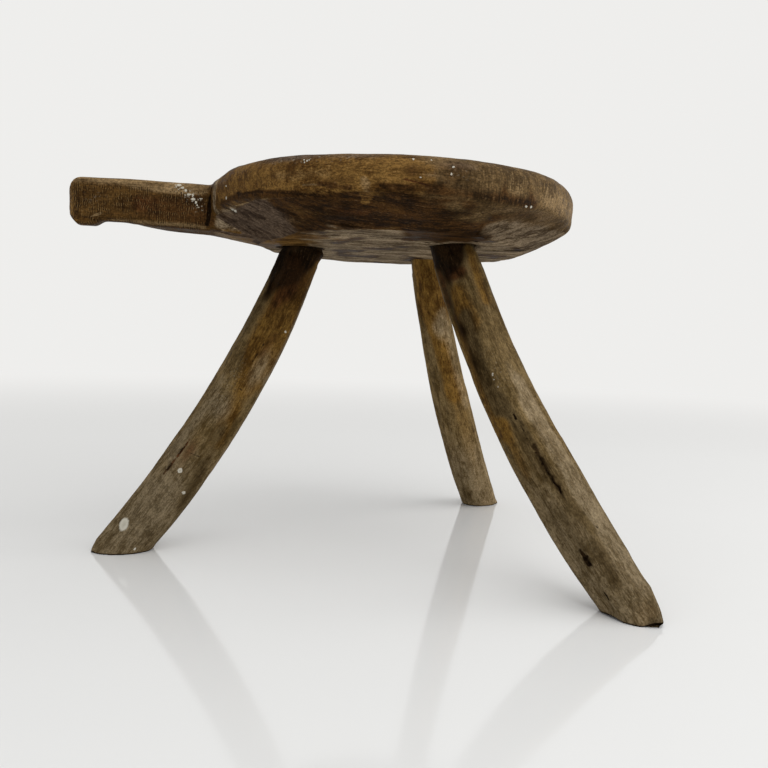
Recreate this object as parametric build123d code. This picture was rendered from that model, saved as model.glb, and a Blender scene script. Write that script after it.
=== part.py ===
from build123d import *

import os
from dataclasses import dataclass
from math import asin, atan2, cos, degrees, hypot, pi, radians, sin, tan

# A staked three-legged stool. One slab is carved into a round, dished seat and the paddle
# handle that runs out of its rim. Three bent branches, thinned to tapered tenons, are driven
# up through splayed mortises in the seat, and each tenon is locked from above by a wedge.
# All lengths are in millimetres and all angles in degrees.
#
# The model is worked out about the middle of the seat, with the handle towards -X, and is
# moved at the end so that its origin lies on the floor, under the middle of its whole box.

# ---- seat ----
SEAT_DIAMETER = 302.0
SEAT_HEIGHT = 303.0  # floor to the rim's top
SEAT_THICKNESS = 51.0
LIP_WIDTH = 25.0  # level ring round the hollow that is worn and scraped into the top
DISH_FLAT_DIAMETER = 40.0
DISH_DEPTH = 5.0
RIM_TOP_ROUND = 13.0
RIM_HEIGHT = 30.0  # upright band between the top and the hewn slope
RIM_TUCK = 3.0  # how far the band leans in on its way down
RIM_FOOT_ROUND = 8.0
SLOPE_WIDTH = 38.5  # of the hewn slope, seen from below
UNDERSIDE_RISE = 2.0  # degrees that the underside's near part slopes up to the rim
UNDERSIDE_RISE_START = -20.0  # in Y
HEWN_CUTS = (-150.0, -104.0, -50.0, 30.0, 75.0, 120.0, 165.0)  # azimuths of the slope's adze flats
HEWN_CUT_DEPTH = 2.0

# ---- handle ----
HANDLE_DROP = 6.2  # top of the handle below the rim's top
HANDLE_END_TOP_ROUND = 11.0
HANDLE_END_FOOT_ROUND = 13.0
HANDLE_END_CORNER_ROUND = 12.0  # seen from above
HANDLE_TOP_ROUND = 5.0


@dataclass(frozen=True)
class HandleSize:
    """The handle's section at one distance from the rim; the far side is the +Y side."""

    reach: float  # out from the rim, or in under it where negative
    width: float
    depth: float
    far_lift: float  # rise of the underside's far side
    near_round: float
    far_round: float


HANDLE = (
    HandleSize(-50.0, 62.0, 43.5, 0.0, 4.0, 4.0),
    HandleSize(-26.0, 50.0, 41.0, 0.0, 5.0, 5.0),
    HandleSize(-4.0, 40.5, 37.5, 0.0, 5.0, 6.0),
    HandleSize(22.0, 37.0, 36.2, 0.0, 5.0, 8.0),
    HandleSize(46.0, 35.6, 35.2, 2.0, 5.0, 11.0),
    HandleSize(62.0, 35.6, 34.0, 4.4, 5.0, 12.0),
    HandleSize(79.0, 36.0, 34.0, 4.6, 5.0, 12.0),
    HandleSize(85.0, 36.6, 38.2, 4.4, 5.0, 12.0),
    HandleSize(105.0, 36.8, 38.4, 4.4, 5.0, 12.0),
)

# ---- legs, tenons and wedges ----
TENON_TAPER = 3.0  # each side
TENON_SHOULDER = 10.0  # tenon's foot below the underside, along its axis
SHOULDER_STEP = 0.6  # shaved step round the tenon's foot
TENON_PROUD = 0.6  # end grain that stands above the dish
MORTISE_CLEARANCE = 0.12  # all round the tenon
MOUTH_FLARE = 2.2  # ragged mouth of each mortise, beyond the tenon
MOUTH_DEPTH = 6.0
WEDGE_THICKNESS = 5.0
WEDGE_TIP = 1.0
WEDGE_DEPTH = 30.0
WEDGE_CLEARANCE = 0.08
KERF_SPARE = 3.0  # kerf left open under the wedge's tip
ABOVE_SEAT = 20.0  # tenons and wedges run on this far before they are trimmed
LEG_UNEVENNESS = 0.025  # share of the radius, from bark-side flats and hollows
THREE_LOBE_SHARE = 0.7  # of the two-lobed unevenness
SECTION_POINTS = 9
DIAMETER_SHARES = (0.12, 0.25, 0.5, 0.75, 1.0)  # of the bow, from the seat to the floor


@dataclass(frozen=True)
class LegSize:
    """One bent branch, from the underside of the seat to the floor."""

    name: str
    azimuth: float  # about the seat's middle, from +X
    mortise_reach: float  # seat's middle to the tenon's axis, at the underside
    foot_reach: float  # seat's middle to the middle of the foot
    bow: float  # sag of the branch away from the straight line
    shoulder_diameter: float  # where the tenon starts
    diameters: tuple  # at the shares of the bow
    bevel_turn: float  # the way the foot's bevel faces, from the leg's own azimuth
    bevel_cut: float  # length that the bevel takes off the sole
    bevel_height: float
    grain_turn: float  # turns the branch's uneven section


LEGS = (
    LegSize("under_handle", 180.0, 73.0, 215.5, 12.7, 32.6, (34.4, 37.4, 40.0, 41.2, 39.6),
            bevel_turn=0.0, bevel_cut=3.0, bevel_height=8.0, grain_turn=20.0),
    LegSize("front", -50.9, 66.0, 232.6, 13.4, 34.4, (36.4, 37.6, 40.6, 41.4, 36.4),
            bevel_turn=26.0, bevel_cut=8.0, bevel_height=20.0, grain_turn=75.0),
    LegSize("back", 50.6, 70.0, 223.0, 12.4, 29.4, (31.4, 33.0, 36.6, 37.6, 36.6),
            bevel_turn=0.0, bevel_cut=3.0, bevel_height=12.0, grain_turn=140.0),
)

# ---- sizes that follow from those ----
SEAT_RADIUS = SEAT_DIAMETER / 2
UNDERSIDE_Z = SEAT_HEIGHT - SEAT_THICKNESS
DISH_RADIUS = SEAT_RADIUS - LIP_WIDTH
RIM_FOOT = (SEAT_RADIUS - RIM_TUCK, SEAT_HEIGHT - RIM_HEIGHT)
UNDERSIDE_EDGE = (RIM_FOOT[0] - SLOPE_WIDTH, UNDERSIDE_Z)
HANDLE_TOP = SEAT_HEIGHT - HANDLE_DROP
HANDLE_END = -SEAT_RADIUS - HANDLE[-1].reach
SPARE = 2 * SEAT_DIAMETER  # size of the blocks that only cut
UPWARD = (Align.CENTER, Align.CENTER, Align.MIN)


def block_beyond(origin, normal):
    """A large block that starts at a plane and fills the side its normal points to."""
    return Plane(origin=origin, z_dir=normal) * Box(SPARE, SPARE, SPARE, align=UPWARD)


def rounded(outline, corner, radius):
    """The outline with its corner nearest to a point rounded off."""
    return fillet(outline.vertices().sort_by_distance(corner)[0], radius)


# ---- seat ----
def round_seat():
    """The turned form of the seat: dish, rounded rim, upright band, slope and underside."""
    bottom = SEAT_HEIGHT - DISH_DEPTH
    flat = DISH_FLAT_DIAMETER / 2
    turn = 2 * atan2(DISH_DEPTH, DISH_RADIUS - flat)
    dish = Line((0, bottom), (flat, bottom))
    dish_rise = JernArc(dish @ 1, dish % 1, DISH_DEPTH / (1 - cos(turn)), degrees(turn))
    rim_top = (SEAT_RADIUS, SEAT_HEIGHT)
    rim = Polyline(dish_rise @ 1, rim_top, RIM_FOOT, UNDERSIDE_EDGE, (0, UNDERSIDE_Z), dish @ 0)
    profile = make_face([dish, dish_rise, *rim.edges()])
    profile = rounded(profile, rim_top, RIM_TOP_ROUND)
    profile = rounded(profile, RIM_FOOT, RIM_FOOT_ROUND)
    return revolve(Plane.XZ * profile, Axis.Z)


def hewn(seat):
    """Shaves the adze's flats round the slope, and one shallow flat across the underside."""
    rise = RIM_FOOT[1] - UNDERSIDE_EDGE[1]
    length = hypot(SLOPE_WIDTH, rise)
    outward, downward = rise / length, SLOPE_WIDTH / length
    middle_r = (RIM_FOOT[0] + UNDERSIDE_EDGE[0]) / 2 - HEWN_CUT_DEPTH * outward
    middle_z = (RIM_FOOT[1] + UNDERSIDE_EDGE[1]) / 2 + HEWN_CUT_DEPTH * downward
    for azimuth in HEWN_CUTS:
        turn = radians(azimuth)
        origin = (middle_r * cos(turn), middle_r * sin(turn), middle_z)
        seat -= block_beyond(origin, (outward * cos(turn), outward * sin(turn), -downward))
    rise = radians(UNDERSIDE_RISE)
    return seat - block_beyond((0, UNDERSIDE_RISE_START, UNDERSIDE_Z), (0, -sin(rise), -cos(rise)))


# ---- handle ----
def handle_section(size):
    """One section across the handle, with its own roundings near and far below."""
    half = size.width / 2
    floor = HANDLE_TOP - size.depth
    across = Plane(origin=(-SEAT_RADIUS - size.reach, 0, 0), x_dir=(0, 1, 0), z_dir=(1, 0, 0))
    corners = (
        ((-half, floor), size.near_round),
        ((half, floor + size.far_lift), size.far_round),
        ((half, HANDLE_TOP), HANDLE_TOP_ROUND),
        ((-half, HANDLE_TOP), HANDLE_TOP_ROUND),
    )
    outline = make_face(Polyline(*[corner for corner, _ in corners], close=True))
    for corner, radius in corners:
        outline = rounded(outline, corner, radius)
    return across * outline


def past_round(side, radius, inward):
    """What lies outside a rounded corner at the handle's end; inward, +1 or -1, leads into it."""
    corner = Pos(HANDLE_END, side)
    kept = corner * Pos(radius, inward * radius) * Circle(radius)
    return corner * Rectangle(2 * radius, 2 * radius) - kept


def handle():
    """The paddle handle: a waisted body with a heel under its end, rounded off from side and top."""
    body = loft([handle_section(size) for size in HANDLE], ruled=True)
    end = HANDLE[-1]
    foot_corner = past_round(HANDLE_TOP - end.depth, HANDLE_END_FOOT_ROUND, 1)
    top_corner = past_round(HANDLE_TOP, HANDLE_END_TOP_ROUND, -1)
    near_corner = past_round(-end.width / 2, HANDLE_END_CORNER_ROUND, 1)
    far_corner = past_round(end.width / 2, HANDLE_END_CORNER_ROUND, -1)
    for corner in (foot_corner, top_corner):
        body -= extrude(Plane.XZ * corner, end.width, both=True)
    for corner in (near_corner, far_corner):
        body -= extrude(corner, SEAT_HEIGHT)
    return body


# ---- legs ----
class Branch:
    """The middle line of one leg: a straight tenon, then a bow that bends out to the foot."""

    def __init__(self, size):
        self.size = size
        self.outward = Vector(cos(radians(size.azimuth)), sin(radians(size.azimuth)), 0)
        self.top = self.outward * size.mortise_reach + Vector(0, 0, UNDERSIDE_Z)
        self.foot = self.outward * size.foot_reach
        chord = self.foot - self.top
        self.along = chord.normalized()
        self.across = (self.outward - self.along * self.outward.dot(self.along)).normalized()
        self.radius = (chord.length**2 / 4 + size.bow**2) / (2 * size.bow)
        self.half_turn = asin(chord.length / 2 / self.radius)
        self.centre = (self.top + self.foot) * 0.5 + self.across * (self.radius - size.bow)
        # along the tenon, from its foot to the level of the rim's top
        self.through = TENON_SHOULDER + SEAT_THICKNESS / -self.heading(0).Z

    def point(self, share):
        """Where the bow is at a share of its length, 0 at the seat and 1 at the floor."""
        turn = (2 * share - 1) * self.half_turn
        return self.centre + (self.along * sin(turn) - self.across * cos(turn)) * self.radius

    def heading(self, share):
        """The way the bow runs there, down the leg."""
        turn = (2 * share - 1) * self.half_turn
        return self.along * cos(turn) + self.across * sin(turn)

    def section_plane(self, share):
        """The plane across the bow, with its X axis in the leg's own upright plane."""
        heading = self.heading(share)
        side = Vector(0, 0, 1).cross(self.outward)
        return Plane(origin=self.point(share), x_dir=side.cross(heading), z_dir=heading)

    def tenon_plane(self):
        """The plane at the tenon's foot, with Z up the tenon."""
        up = self.heading(0) * -1
        return Plane(origin=self.top - up * TENON_SHOULDER, x_dir=self.along_grain(), z_dir=up)

    def along_grain(self):
        """The seat's grain, along X, as it lies across the tenon."""
        up = self.heading(0) * -1
        return (Vector(1, 0, 0) - up * up.X).normalized()


def section(plane, diameter, turn, unevenness):
    """A closed, slightly lobed outline of a shaved branch."""
    points = []
    for step in range(SECTION_POINTS):
        angle = 2 * pi * step / SECTION_POINTS
        lobes = cos(2 * angle + turn) + THREE_LOBE_SHARE * cos(3 * angle - 2 * turn)
        radius = diameter / 2 * (1 + unevenness * lobes)
        points.append(plane.from_local_coords((radius * cos(angle), radius * sin(angle), 0)))
    return make_face(Spline(*points, periodic=True))


def tenon_cone(branch, allowance=0.0):
    """The tapered tenon, run on above the seat."""
    length = branch.through + ABOVE_SEAT
    low = branch.size.shoulder_diameter / 2 + allowance
    high = low - length * tan(radians(TENON_TAPER))
    return branch.tenon_plane() * Cone(low, high, length, align=UPWARD)


def bowed_shaft(branch):
    """The branch below its tenon, run on past the floor so that the foot can be sawn level."""
    size = branch.size
    chord = (branch.foot - branch.top).length
    past_floor = 1 + size.diameters[-1] / chord
    shares = (*DIAMETER_SHARES, past_floor)
    diameters = (*size.diameters, size.diameters[-1])
    turn = radians(size.grain_turn)
    sections = [
        section(branch.section_plane(share), diameter, turn + share, LEG_UNEVENNESS)
        for share, diameter in zip(shares, diameters)
    ]
    shoulder = branch.section_plane(0)
    shoulder.origin = branch.top + branch.heading(0) * TENON_SHOULDER
    return loft([section(shoulder, size.shoulder_diameter + 2 * SHOULDER_STEP, turn, 0.0), *sections])


def foot_bevel(branch):
    """The corner that is shaved off the foot, as the block that removes it."""
    size = branch.size
    heading = branch.heading(1)
    turn = radians(size.bevel_turn)
    facing = branch.outward.rotate(Axis.Z, size.bevel_turn)
    half = size.diameters[-1] / 2
    edge = hypot(half / -heading.Z * cos(turn), half * sin(turn))
    lean = heading.dot(facing) / -heading.Z
    low = edge - size.bevel_cut
    high = edge - size.bevel_height * lean
    normal = facing * size.bevel_height + Vector(0, 0, low - high)
    return block_beyond(branch.foot + facing * low, normal)


def wedge_block(branch, allowance=0.0):
    """A wedge that runs on above the seat, as wide as the tenon and across the seat's grain."""
    top = branch.through + ABOVE_SEAT
    tip = branch.through - WEDGE_DEPTH
    half_tip = WEDGE_TIP / 2 + allowance
    half_top = half_tip + (WEDGE_THICKNESS - WEDGE_TIP) / 2 * (top - tip) / WEDGE_DEPTH
    side = Polyline((-half_tip, tip), (half_tip, tip), (half_top, top), (-half_top, top), close=True)
    width = branch.size.shoulder_diameter
    return branch.tenon_plane() * extrude(Plane.XZ * make_face(side), width, both=True)


def kerf_block(branch):
    """The saw cut that takes the wedge, a little deeper than the wedge's tip."""
    floor = branch.through - WEDGE_DEPTH - KERF_SPARE
    slot_size = (WEDGE_TIP + 2 * WEDGE_CLEARANCE, 2 * branch.size.shoulder_diameter, 2 * KERF_SPARE)
    slot = Pos(0, 0, floor) * Box(*slot_size, align=UPWARD)
    return wedge_block(branch, WEDGE_CLEARANCE) + branch.tenon_plane() * slot


def leg_and_wedge(branch, above_seat):
    """One leg with its kerfed tenon, and the wedge in it, both trimmed over the dish."""
    tenon = tenon_cone(branch)
    wedge = (wedge_block(branch) & tenon) - above_seat
    tenon = tenon - kerf_block(branch) - above_seat
    below_floor = block_beyond((0, 0, 0), (0, 0, -1))
    return bowed_shaft(branch) + tenon - below_floor - foot_bevel(branch), wedge


def mortise(branch):
    """The tapered hole for one tenon, with its ragged mouth in the underside."""
    length = TENON_SHOULDER + MOUTH_DEPTH
    foot_radius = branch.size.shoulder_diameter / 2 + MORTISE_CLEARANCE
    at_end = foot_radius - length * tan(radians(TENON_TAPER))
    flare = MOUTH_FLARE / MOUTH_DEPTH * length
    mouth = branch.tenon_plane() * Cone(at_end + flare, at_end, length, align=UPWARD)
    return tenon_cone(branch, MORTISE_CLEARANCE) + mouth


# ---- the whole stool ----
def over_dish():
    """What the tenons and wedges lose once driven: all that stands too high over the dish."""
    lid = Cylinder(DISH_RADIUS, 2 * DISH_DEPTH + 2 * ABOVE_SEAT, align=UPWARD)
    return Pos(0, 0, TENON_PROUD) * (Pos(0, 0, SEAT_HEIGHT - 2 * DISH_DEPTH) * lid - round_seat())


def build():
    """Every piece by name, standing on the floor with its box centred on the origin."""
    above_seat = over_dish()
    pieces = {"seat": hewn(round_seat()) + handle()}
    for size in LEGS:
        branch = Branch(size)
        leg, wedge = leg_and_wedge(branch, above_seat)
        pieces["seat"] -= mortise(branch)
        pieces[f"leg_{size.name}"] = leg
        pieces[f"wedge_{size.name}"] = wedge
    box = Compound([solid for piece in pieces.values() for solid in piece.solids()]).bounding_box()
    to_origin = Pos(-box.center().X, -box.center().Y, -box.min.Z)
    return {name: to_origin * piece for name, piece in pieces.items()}


def main():
    """Writes one STEP file for each piece."""
    os.makedirs("parts", exist_ok=True)
    for name, piece in build().items():
        export_step(piece, f"parts/{name}.step")


if __name__ == "__main__":
    main()
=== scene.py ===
"""Dresses a staked three-legged stool: a carved seat with a paddle handle, three bent branch legs
and the wedges that lock them, on a plain pale floor.

Sizes are in millimetres where a name or a docstring doesn't say otherwise, and are turned into
metres when a mesh is built. The seat's grain runs along X, and +Z is up.
"""

import logging
import math
from dataclasses import dataclass, replace
from enum import Enum
from typing import Callable, Sequence

import bmesh
import bpy
import numpy as np
from mathutils import Matrix, Vector, noise


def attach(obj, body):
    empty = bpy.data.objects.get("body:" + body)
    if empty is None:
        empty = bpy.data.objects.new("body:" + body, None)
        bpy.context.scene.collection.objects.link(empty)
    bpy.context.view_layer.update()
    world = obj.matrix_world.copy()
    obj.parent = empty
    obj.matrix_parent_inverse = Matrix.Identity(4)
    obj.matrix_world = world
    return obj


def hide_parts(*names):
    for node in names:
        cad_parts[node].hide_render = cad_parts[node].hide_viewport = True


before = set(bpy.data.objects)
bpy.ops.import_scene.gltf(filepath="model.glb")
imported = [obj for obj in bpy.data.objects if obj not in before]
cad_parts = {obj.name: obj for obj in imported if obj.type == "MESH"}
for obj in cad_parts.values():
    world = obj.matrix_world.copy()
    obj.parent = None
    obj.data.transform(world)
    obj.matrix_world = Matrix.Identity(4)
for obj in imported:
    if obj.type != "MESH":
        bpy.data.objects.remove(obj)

LOG = logging.getLogger("stool")
MM = 0.001
SEAT_CENTRE = (45.01, 4.21)  # the seat's middle, from the origin under the whole stool
UNDERSIDE = 252.0
MIX_INPUTS = (0, 6, 7)  # where a Mix node takes its share and its two colours
MIX_OUTPUT = 2
MERGE_WITHIN = 0.01  # corners of a solid's faces that are this close become one
FINE_MARGIN = 1.2  # how far round a narrow mark the mesh is divided
MOST_COVER = 1.5
SENSOR_WIDTH = 36.0
FRAME_WIDTH = 768.0  # in pixels

Pair = tuple[float, float]
Triple = tuple[float, float, float]
Socket = bpy.types.NodeSocket
Value = float | Socket
Colour = Triple | Socket
Feeds = dict[str | int, object]


class Tone(Enum):
    """The kinds of wood surface, from the first that is laid on to the last."""

    OLIVE = "olive"
    OCHRE = "ochre"
    TAN = "tan"
    ASH = "ash"
    SLATE = "slate"
    RUST = "rust"
    # dark patches in the wood, and painted shade in many places: under the seat, in creases, along cracks and
    # at the feet
    SMOKE = "dark_and_shade"
    GAP = "gap"
    CHALK = "chalk"
    END = "end_grain"


class Slot(Enum):
    """The record's material slots."""

    SEAT = "seat_wood"
    LEG = "leg_wood"
    WEDGE = "wedge_wood"


# ---- small helpers ----
def smooth_step(low: float, high: float, values: np.ndarray) -> np.ndarray:
    """Rises smoothly from 0 at low to 1 at high."""
    share = np.clip((values - low) / (high - low), 0.0, 1.0)
    return share * share * (3.0 - 2.0 * share)


def grain_noise(points: np.ndarray, stretch: Triple, shift: float = 0.0, octaves: int = 2) -> np.ndarray:
    """Smooth noise of about -1 to 1 at each point.

    Args:
        points: one row per point.
        stretch: the size of the noise's lumps along each axis.
        shift: moves the pattern, so that two layers differ.
        octaves: how many finer layers are added.

    Returns:
        One value for each point.
    """
    scaled = points / np.array(stretch) + shift
    fall, finer = 1.0, 2.0  # how fast the layers weaken, and how much finer each is
    return np.array([noise.fractal(Vector(p), fall, finer, octaves) for p in scaled.tolist()])


def scallops(points: np.ndarray, stretch: Triple, shift: float) -> np.ndarray:
    """Shallow bowls with ridges between them, as an adze leaves; 0 in a bowl's middle, 1 on a ridge."""
    near = [noise.voronoi(Vector(p))[0][0] for p in (points / np.array(stretch) + shift).tolist()]
    return np.clip(np.array(near), 0.0, 1.0) ** 2


def distance_to_path(points: np.ndarray, path: Sequence[Triple]) -> np.ndarray:
    """How far each point lies from a chain of straight runs.

    Args:
        points: one row per point.
        path: the ends of the runs.

    Returns:
        One distance for each point.
    """
    nearest = np.full(len(points), np.inf)
    for start, end in zip(path[:-1], path[1:]):
        a, run = np.array(start), np.array(end) - np.array(start)
        along = np.clip((points - a) @ run / max(run @ run, 1e-9), 0.0, 1.0)
        gap = np.linalg.norm(points - a - along[:, None] * run, axis=1)
        nearest = np.minimum(nearest, gap)
    return nearest


def in_metres(lengths: Sequence[float]) -> tuple[float, ...]:
    """The lengths, turned from millimetres."""
    return tuple(value * MM for value in lengths)


def placed(name: str, data: bpy.types.ID) -> bpy.types.Object:
    """Puts a new object in the scene.

    Args:
        name: its name.
        data: the mesh, lamp or lens that it shows.

    Returns:
        The object.
    """
    made = bpy.data.objects.new(name, data)
    bpy.context.scene.collection.objects.link(made)
    return made


# ---- what is carved into a piece, and what it has picked up ----
@dataclass(frozen=True)
class Spot:
    """A soft-edged round area of a tone, or of a hollow; a negative hollow is a swelling."""

    at: Triple
    reach: Triple
    amount: float = 1.0

    def cover(self, points: np.ndarray) -> np.ndarray:
        """How much of its tone or depth each point gets."""
        square = (((points - np.array(self.at)) / np.array(self.reach)) ** 2).sum(axis=1)
        return self.amount * np.exp(-square)


@dataclass(frozen=True)
class Band:
    """A soft-edged band of a tone, or of a hollow, along a path."""

    path: tuple[Triple, ...]
    width: float
    amount: float = 1.0

    def cover(self, points: np.ndarray) -> np.ndarray:
        """How much of its tone or depth each point gets."""
        return self.amount * np.exp(-((distance_to_path(points, self.path) / self.width) ** 2))


Areas = tuple[Spot | Band, ...]
Tones = dict[Tone, Areas]


def total(areas: Areas, points: np.ndarray) -> np.ndarray:
    """What all the areas give each point."""
    return np.sum([area.cover(points) for area in areas], axis=0)


@dataclass(frozen=True)
class Mark:
    """A narrow mark: a drying crack, a slip of the saw, a scratch or a line of stain."""

    path: tuple[Triple, ...]
    width: float
    depth: float = 0.0
    tone: Tone = Tone.GAP
    strength: float = 1.2
    wander: float = 0.45  # how far its edges stray


@dataclass(frozen=True)
class Speck:
    """A fleck of dried paint."""

    at: Triple
    size: Triple
    thin: float = 0.0  # how far the wood shows through its middle


# ---- node trees ----
class Sheet:
    """A node tree, with a short method for each kind of node that the stool and its studio use."""

    def __init__(self, owner: bpy.types.Material | bpy.types.World) -> None:
        """Empties the owner's tree.

        Args:
            owner: what the tree belongs to.
        """
        owner.use_nodes = True
        self.tree = owner.node_tree
        self.tree.nodes.clear()

    def node(self, kind: str, feeds: Feeds | None = None, **settings: object) -> bpy.types.Node:
        """Adds a node.

        Args:
            kind: its type, without the word that all types start with.
            feeds: what its inputs get, by name or place.
            settings: its properties, which are set first.

        Returns:
            The node.
        """
        made = self.tree.nodes.new(f"ShaderNode{kind}")
        for key, value in settings.items():
            setattr(made, key, value)
        for key, value in (feeds or {}).items():
            self.feed(made.inputs[key], value)
        return made

    def feed(self, socket: Socket, value: object) -> None:
        """Links a socket, or sets it.

        Args:
            socket: the input.
            value: an output, a number, a colour or a vector.
        """
        if isinstance(value, Socket):
            self.tree.links.new(value, socket)
        elif socket.type == "RGBA":
            socket.default_value = (*value, 1.0)
        else:
            socket.default_value = value

    def coords(self, source: str = "") -> Socket:
        """Object coordinates, or the vectors of a named attribute."""
        made = self.node("Attribute", attribute_name=source) if source else self.node("TexCoord")
        return made.outputs["Vector" if source else "Object"]

    def tone(self, tone: Tone) -> Socket:
        """The cover of one tone, from the piece's own attribute."""
        return self.node("Attribute", attribute_name=tone.value).outputs["Fac"]

    def stretched(self, vector: Socket, lumps: Triple) -> Socket:
        """The vector divided by a lump size in millimetres, ready for a pattern of scale 1."""
        scale = tuple(1.0 / (size * MM) for size in lumps)
        return self.node("Mapping", {"Vector": vector, "Scale": scale}).outputs["Vector"]

    def noise(
        self, vector: Socket, lumps: Triple, detail: float, roughness: float = 0.55, distortion: float = 0.0
    ) -> Socket:
        """Noise of about 0 to 1.

        Args:
            vector: where it is read.
            lumps: its lump size along each axis.
            detail: finer layers.
            roughness: how strong those are.
            distortion: how much it swirls.

        Returns:
            The noise's factor.
        """
        feeds = {"Vector": self.stretched(vector, lumps), "Scale": 1.0}
        feeds |= {"Detail": detail, "Roughness": roughness, "Distortion": distortion}
        return self.node("TexNoise", feeds).outputs["Fac"]

    def math(self, operation: str, *values: Value) -> Socket:
        """One step of arithmetic."""
        return self.node("Math", dict(enumerate(values)), operation=operation).outputs[0]

    def vector(self, operation: str, *values: Triple | Socket) -> Socket:
        """One step of arithmetic on vectors; a length comes out as a number."""
        made = self.node("VectorMath", dict(enumerate(values)), operation=operation)
        return made.outputs["Value" if operation == "LENGTH" else "Vector"]

    def rise(self, value: Value, low: float, high: float, start: float = 0.0, end: float = 1.0) -> Socket:
        """Maps low to high onto start to end, smoothly and clamped."""
        feeds = {"Value": value, "From Min": low, "From Max": high, "To Min": start, "To Max": end}
        return self.node("MapRange", feeds, interpolation_type="SMOOTHSTEP").outputs["Result"]

    def weigh(self, *parts: tuple[Socket, float]) -> Socket:
        """A weighted sum.

        Args:
            parts: each value with its weight.

        Returns:
            The sum.
        """
        heap: Value = 0.0
        for value, weight in parts:
            heap = self.math("MULTIPLY_ADD", value, weight, heap)
        return heap

    def mix(self, share: Value, first: Colour, second: Colour, blend: str = "MIX") -> Socket:
        """Mixes two colours."""
        feeds = dict(zip(MIX_INPUTS, (share, first, second)))
        return self.node("Mix", feeds, data_type="RGBA", blend_type=blend).outputs[MIX_OUTPUT]

    def grey(self, value: Socket) -> Socket:
        """The value as a grey colour."""
        return self.node("CombineColor", {0: value, 1: value, 2: value}).outputs[0]

    def looked_at(self) -> Socket:
        """1 for what the camera sees, directly or in a reflection."""
        path = self.node("LightPath").outputs
        return self.math("MAXIMUM", path["Is Camera Ray"], path["Is Glossy Ray"])

    def either(self, share: Socket, first: bpy.types.Node, second: bpy.types.Node) -> bpy.types.Node:
        """Mixes two shaders."""
        return self.node("MixShader", {0: share, 1: first.outputs[0], 2: second.outputs[0]})

    def end(self, surface: bpy.types.Node, kind: str = "Material") -> None:
        """Shows the shader as the tree's surface."""
        self.node(f"Output{kind}", {"Surface": surface.outputs[0]})


@dataclass(frozen=True)
class WoodLayer:
    """One tone of the wood: its colour in the dark and in the light of the grain."""

    tone: Tone
    deep: Triple
    pale: Triple
    ragged: float = 0.42  # how far noise moves the patch's edge
    blur: float = 0.28  # half the width of the edge, in cover
    edge: float = 0.48  # the cover in the middle of the edge
    opacity: float = 0.95


BLACKENED = WoodLayer(Tone.GAP, (0.002, 0.001, 0.0005), (0.008, 0.004, 0.002), 0.12, 0.25)


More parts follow.
